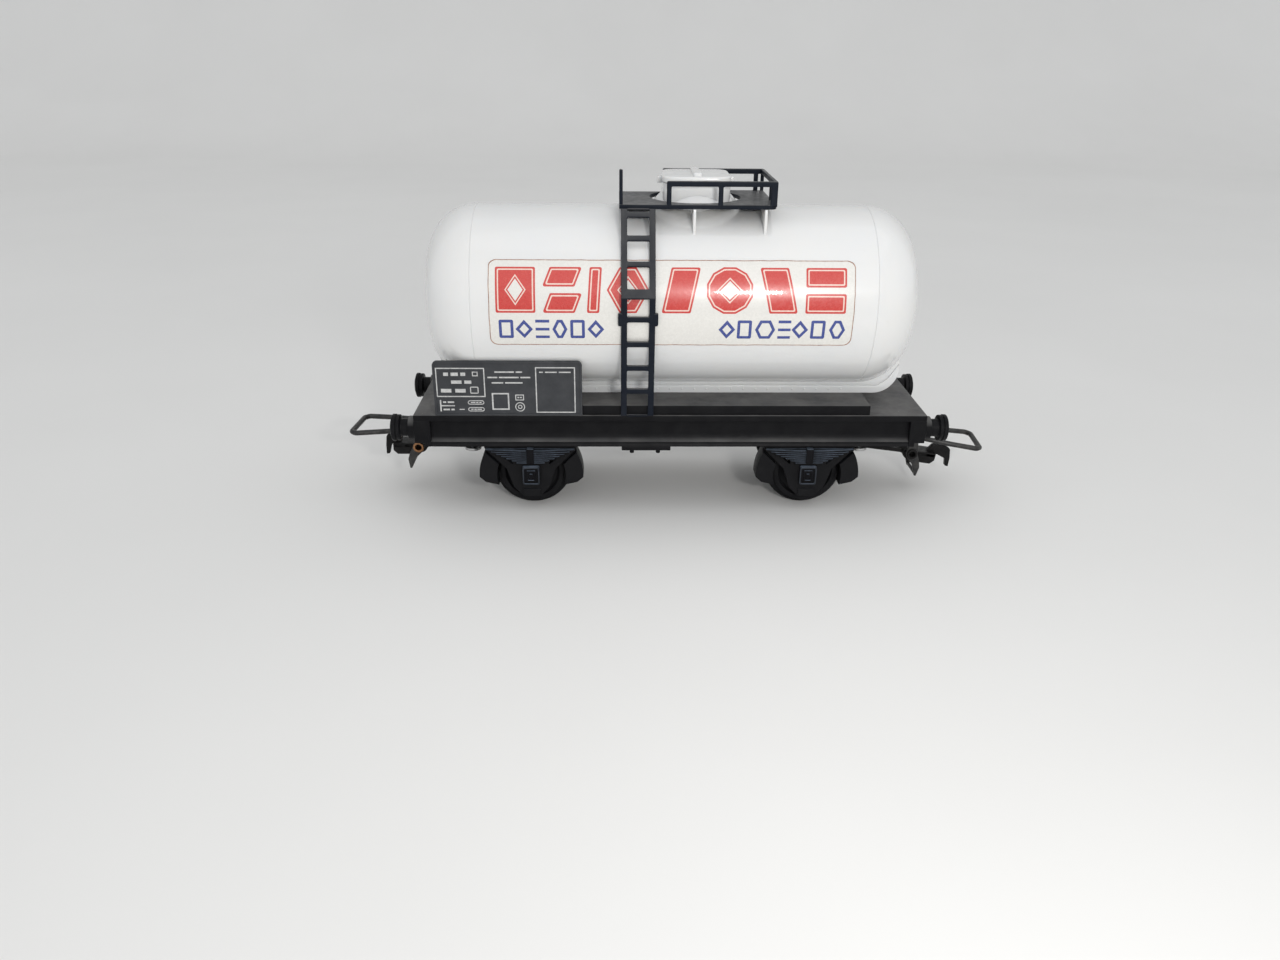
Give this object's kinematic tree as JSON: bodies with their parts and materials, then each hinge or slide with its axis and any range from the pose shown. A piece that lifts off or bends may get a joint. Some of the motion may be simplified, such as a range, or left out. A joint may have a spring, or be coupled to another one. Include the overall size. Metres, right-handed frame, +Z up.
{
  "type": "model railway tank wagon",
  "caption": "Small four-wheel model tank wagon with a white tank, railed walkway, ladder, buffers and swivelling hook-and-loop couplings.",
  "frame": {"origin": "centre of the wagon in plan, at the lowest point of the wheel flanges", "axes": "+X to the right-hand end along the wagon, +Y away from the ladder side, +Z up"},
  "size_m": [0.1245, 0.0339, 0.0627],
  "materials": {
    "tank_white": "gloss",
    "chassis_black": "satin",
    "walkway_black": "satin",
    "plate_grey": "satin",
    "gear_black": "satin",
    "wheel_black": "satin",
    "axle_steel": "satin",
    "coupling_black": "satin",
    "loop_black": "satin",
    "rivet_copper": "polished",
    "rivet_steel": "satin",
    "label_cream": "gloss",
    "print_brown": "gloss",
    "print_red": "gloss",
    "print_blue": "gloss",
    "print_white": "matte"
  },
  "bodies": {
    "body": {"underframe": "chassis_black", "tank_barrel": "tank_white", "tank_end_left": "tank_white", "tank_end_right": "tank_white", "tank_cradle": "tank_white", "tank_screws": "rivet_steel", "manhole_dome": "tank_white", "manhole_lid": "tank_white", "lid_strap": "tank_white", "walkway": "walkway_black", "railing": "walkway_black", "grab_post": "walkway_black", "ladder": "walkway_black", "ladder_clip": "chassis_black", "data_plate": "plate_grey", "gear_left": "gear_black", "gear_right": "gear_black", "spring_left_near": "gear_black", "spring_left_far": "gear_black", "spring_right_near": "gear_black", "spring_right_far": "gear_black", "axle_box_left_near": "gear_black", "axle_box_left_far": "gear_black", "axle_box_right_near": "gear_black", "axle_box_right_far": "gear_black", "shoe_left_near_outer": "gear_black", "shoe_left_near_inner": "gear_black", "shoe_left_far_outer": "gear_black", "shoe_left_far_inner": "gear_black", "shoe_right_near_outer": "gear_black", "shoe_right_near_inner": "gear_black", "shoe_right_far_outer": "gear_black", "shoe_right_far_inner": "gear_black", "buffer_left_near": "chassis_black", "buffer_left_far": "chassis_black", "buffer_right_near": "chassis_black", "buffer_right_far": "chassis_black", "coupling_rivets": "rivet_steel"},
    "wheelset_left": {"axle_left": "axle_steel", "wheel_left_near": "wheel_black", "wheel_left_far": "wheel_black"},
    "wheelset_right": {"axle_right": "axle_steel", "wheel_right_near": "wheel_black", "wheel_right_far": "wheel_black"},
    "coupling_left": {"drawbar_left": "coupling_black", "loop_pin_left": "rivet_copper"},
    "coupling_right": {"drawbar_right": "coupling_black", "loop_pin_right": "coupling_black"},
    "loop_left": {"coupling_loop_left": "loop_black"},
    "loop_right": {"coupling_loop_right": "loop_black"}
  },
  "joints": [
    {"name": "wheels_left_turn", "type": "hinge", "parent": "body", "child": "wheelset_left", "pos_m": [-0.02605, 0, 0.0073], "axis": [0, 1, 0], "continuous": true},
    {"name": "wheels_right_turn", "type": "hinge", "parent": "body", "child": "wheelset_right", "pos_m": [0.02605, 0, 0.0073], "axis": [0, 1, 0], "continuous": true},
    {"name": "coupling_left_swing", "type": "hinge", "parent": "body", "child": "coupling_left", "pos_m": [-0.0385, 0, 0.0097], "axis": [0, 0, 1], "range_deg": [-12, 12]},
    {"name": "coupling_right_swing", "type": "hinge", "parent": "body", "child": "coupling_right", "pos_m": [0.0385, 0, 0.0097], "axis": [0, 0, 1], "range_deg": [-12, 12]},
    {"name": "loop_left_lift", "type": "hinge", "parent": "coupling_left", "child": "loop_left", "pos_m": [-0.0487, 0, 0.0094], "axis": [0, 1, 0], "range_deg": [0, 30]},
    {"name": "loop_right_lift", "type": "hinge", "parent": "coupling_right", "child": "loop_right", "pos_m": [0.04854, 0, 0.0079], "axis": [0, -1, 0], "range_deg": [0, 30]}
  ]
}
